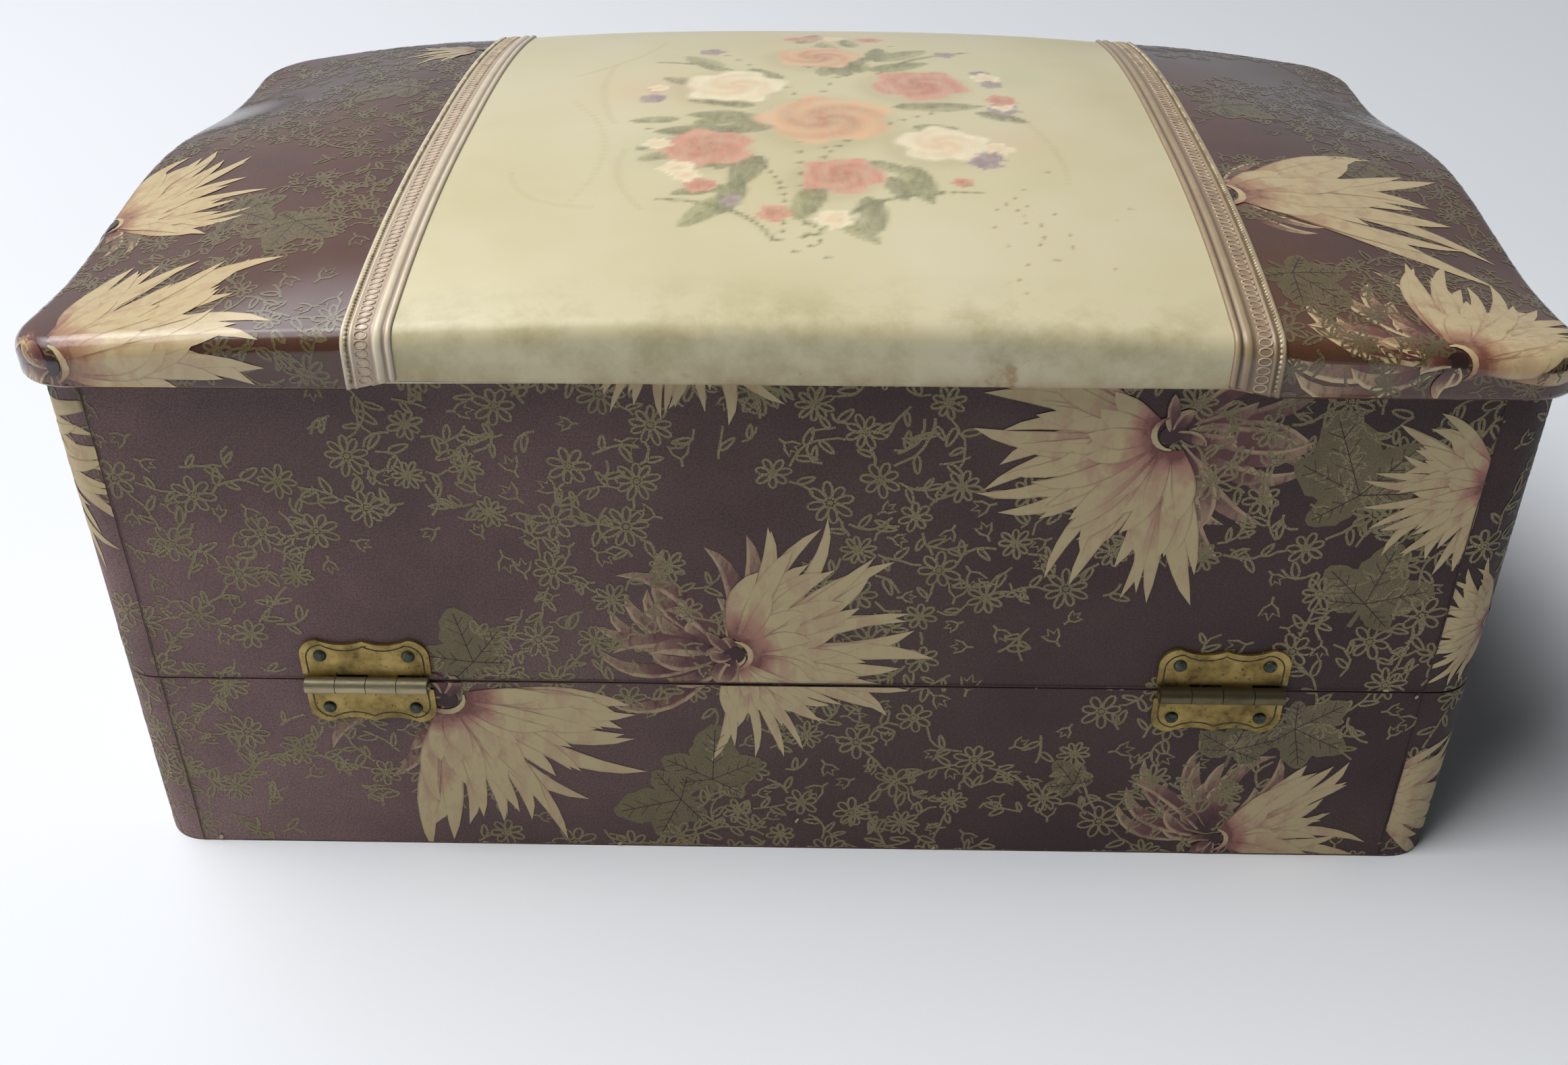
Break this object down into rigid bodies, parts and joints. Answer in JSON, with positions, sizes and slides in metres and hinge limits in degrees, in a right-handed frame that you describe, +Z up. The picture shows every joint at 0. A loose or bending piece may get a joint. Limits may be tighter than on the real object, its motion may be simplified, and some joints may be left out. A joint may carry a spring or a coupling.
{
  "type": "keepsake box",
  "caption": "Paper-covered keepsake box with a deep hinged lid, a padded celluloid top, satin-lined inside and a small front hook catch.",
  "frame": {"origin": "centre of the underside, on the surface the box stands on", "axes": "+Z up, +X along the long side, -Y towards the front with the catch, hinges at +Y"},
  "size_m": [0.287, 0.1754, 0.1369],
  "materials": {
    "printed_paper": "matte plum printed paper, gilt tracery and cream blossoms",
    "pine_board": "plain sawn pine",
    "satin_lining": "old gold satin on card",
    "satin_pad": "old gold satin over wadding",
    "cotton_wadding": "loose cotton",
    "ivory_celluloid": "glossy ivory sheet, yellowed",
    "maroon_celluloid": "glossy clear sheet over maroon printed paper",
    "embossed_band": "embossed tan and cream strip",
    "aged_brass": "aged, spotted",
    "tarnished_pins": "dark green tarnish"
  },
  "bodies": {
    "base": {"base_back_board": "pine_board", "base_back_lining": "satin_lining", "base_back_paper": "printed_paper", "base_bottom_paper": "printed_paper", "base_floor_board": "pine_board", "base_floor_pad": "satin_pad", "base_front_board": "pine_board", "base_front_lining": "satin_lining", "base_left_board": "pine_board", "base_left_lining": "satin_lining", "base_right_board": "pine_board", "base_right_lining": "satin_lining", "base_wrap_paper": "printed_paper", "catch_stud": "tarnished_pins", "catch_stud_rose": "aged_brass", "left_hinge_lower_leaf": "aged_brass", "left_hinge_lower_nails": "tarnished_pins", "left_hinge_pin": "aged_brass", "right_hinge_lower_leaf": "aged_brass", "right_hinge_lower_nails": "tarnished_pins", "right_hinge_pin": "aged_brass"},
    "lid": {"catch_hook_rose": "aged_brass", "catch_pivot_pin": "tarnished_pins", "centre_celluloid_panel": "ivory_celluloid", "left_band": "embossed_band", "left_celluloid_panel": "maroon_celluloid", "left_hinge_upper_leaf": "aged_brass", "left_hinge_upper_nails": "tarnished_pins", "lid_back_board": "pine_board", "lid_back_lining": "satin_lining", "lid_back_paper": "printed_paper", "lid_ceiling_pad": "satin_pad", "lid_front_board": "pine_board", "lid_front_lining": "satin_lining", "lid_left_board": "pine_board", "lid_left_lining": "satin_lining", "lid_right_board": "pine_board", "lid_right_lining": "satin_lining", "lid_top_board": "pine_board", "lid_wadding": "cotton_wadding", "lid_wrap_paper": "printed_paper", "right_band": "embossed_band", "right_celluloid_panel": "maroon_celluloid", "right_hinge_upper_leaf": "aged_brass", "right_hinge_upper_nails": "tarnished_pins"},
    "hook": {"catch_hook": "aged_brass"}
  },
  "joints": [
    {"name": "lid_hinge", "type": "hinge", "parent": "base", "child": "lid", "pos_m": [0, 0.0854, 0.046], "axis": [-1, 0, 0], "range_deg": [0, 120]},
    {"name": "hook_pivot", "type": "hinge", "parent": "lid", "child": "hook", "pos_m": [0, -0.0842, 0.057], "axis": [0, 1, 0], "range_deg": [-80, 90]}
  ]
}
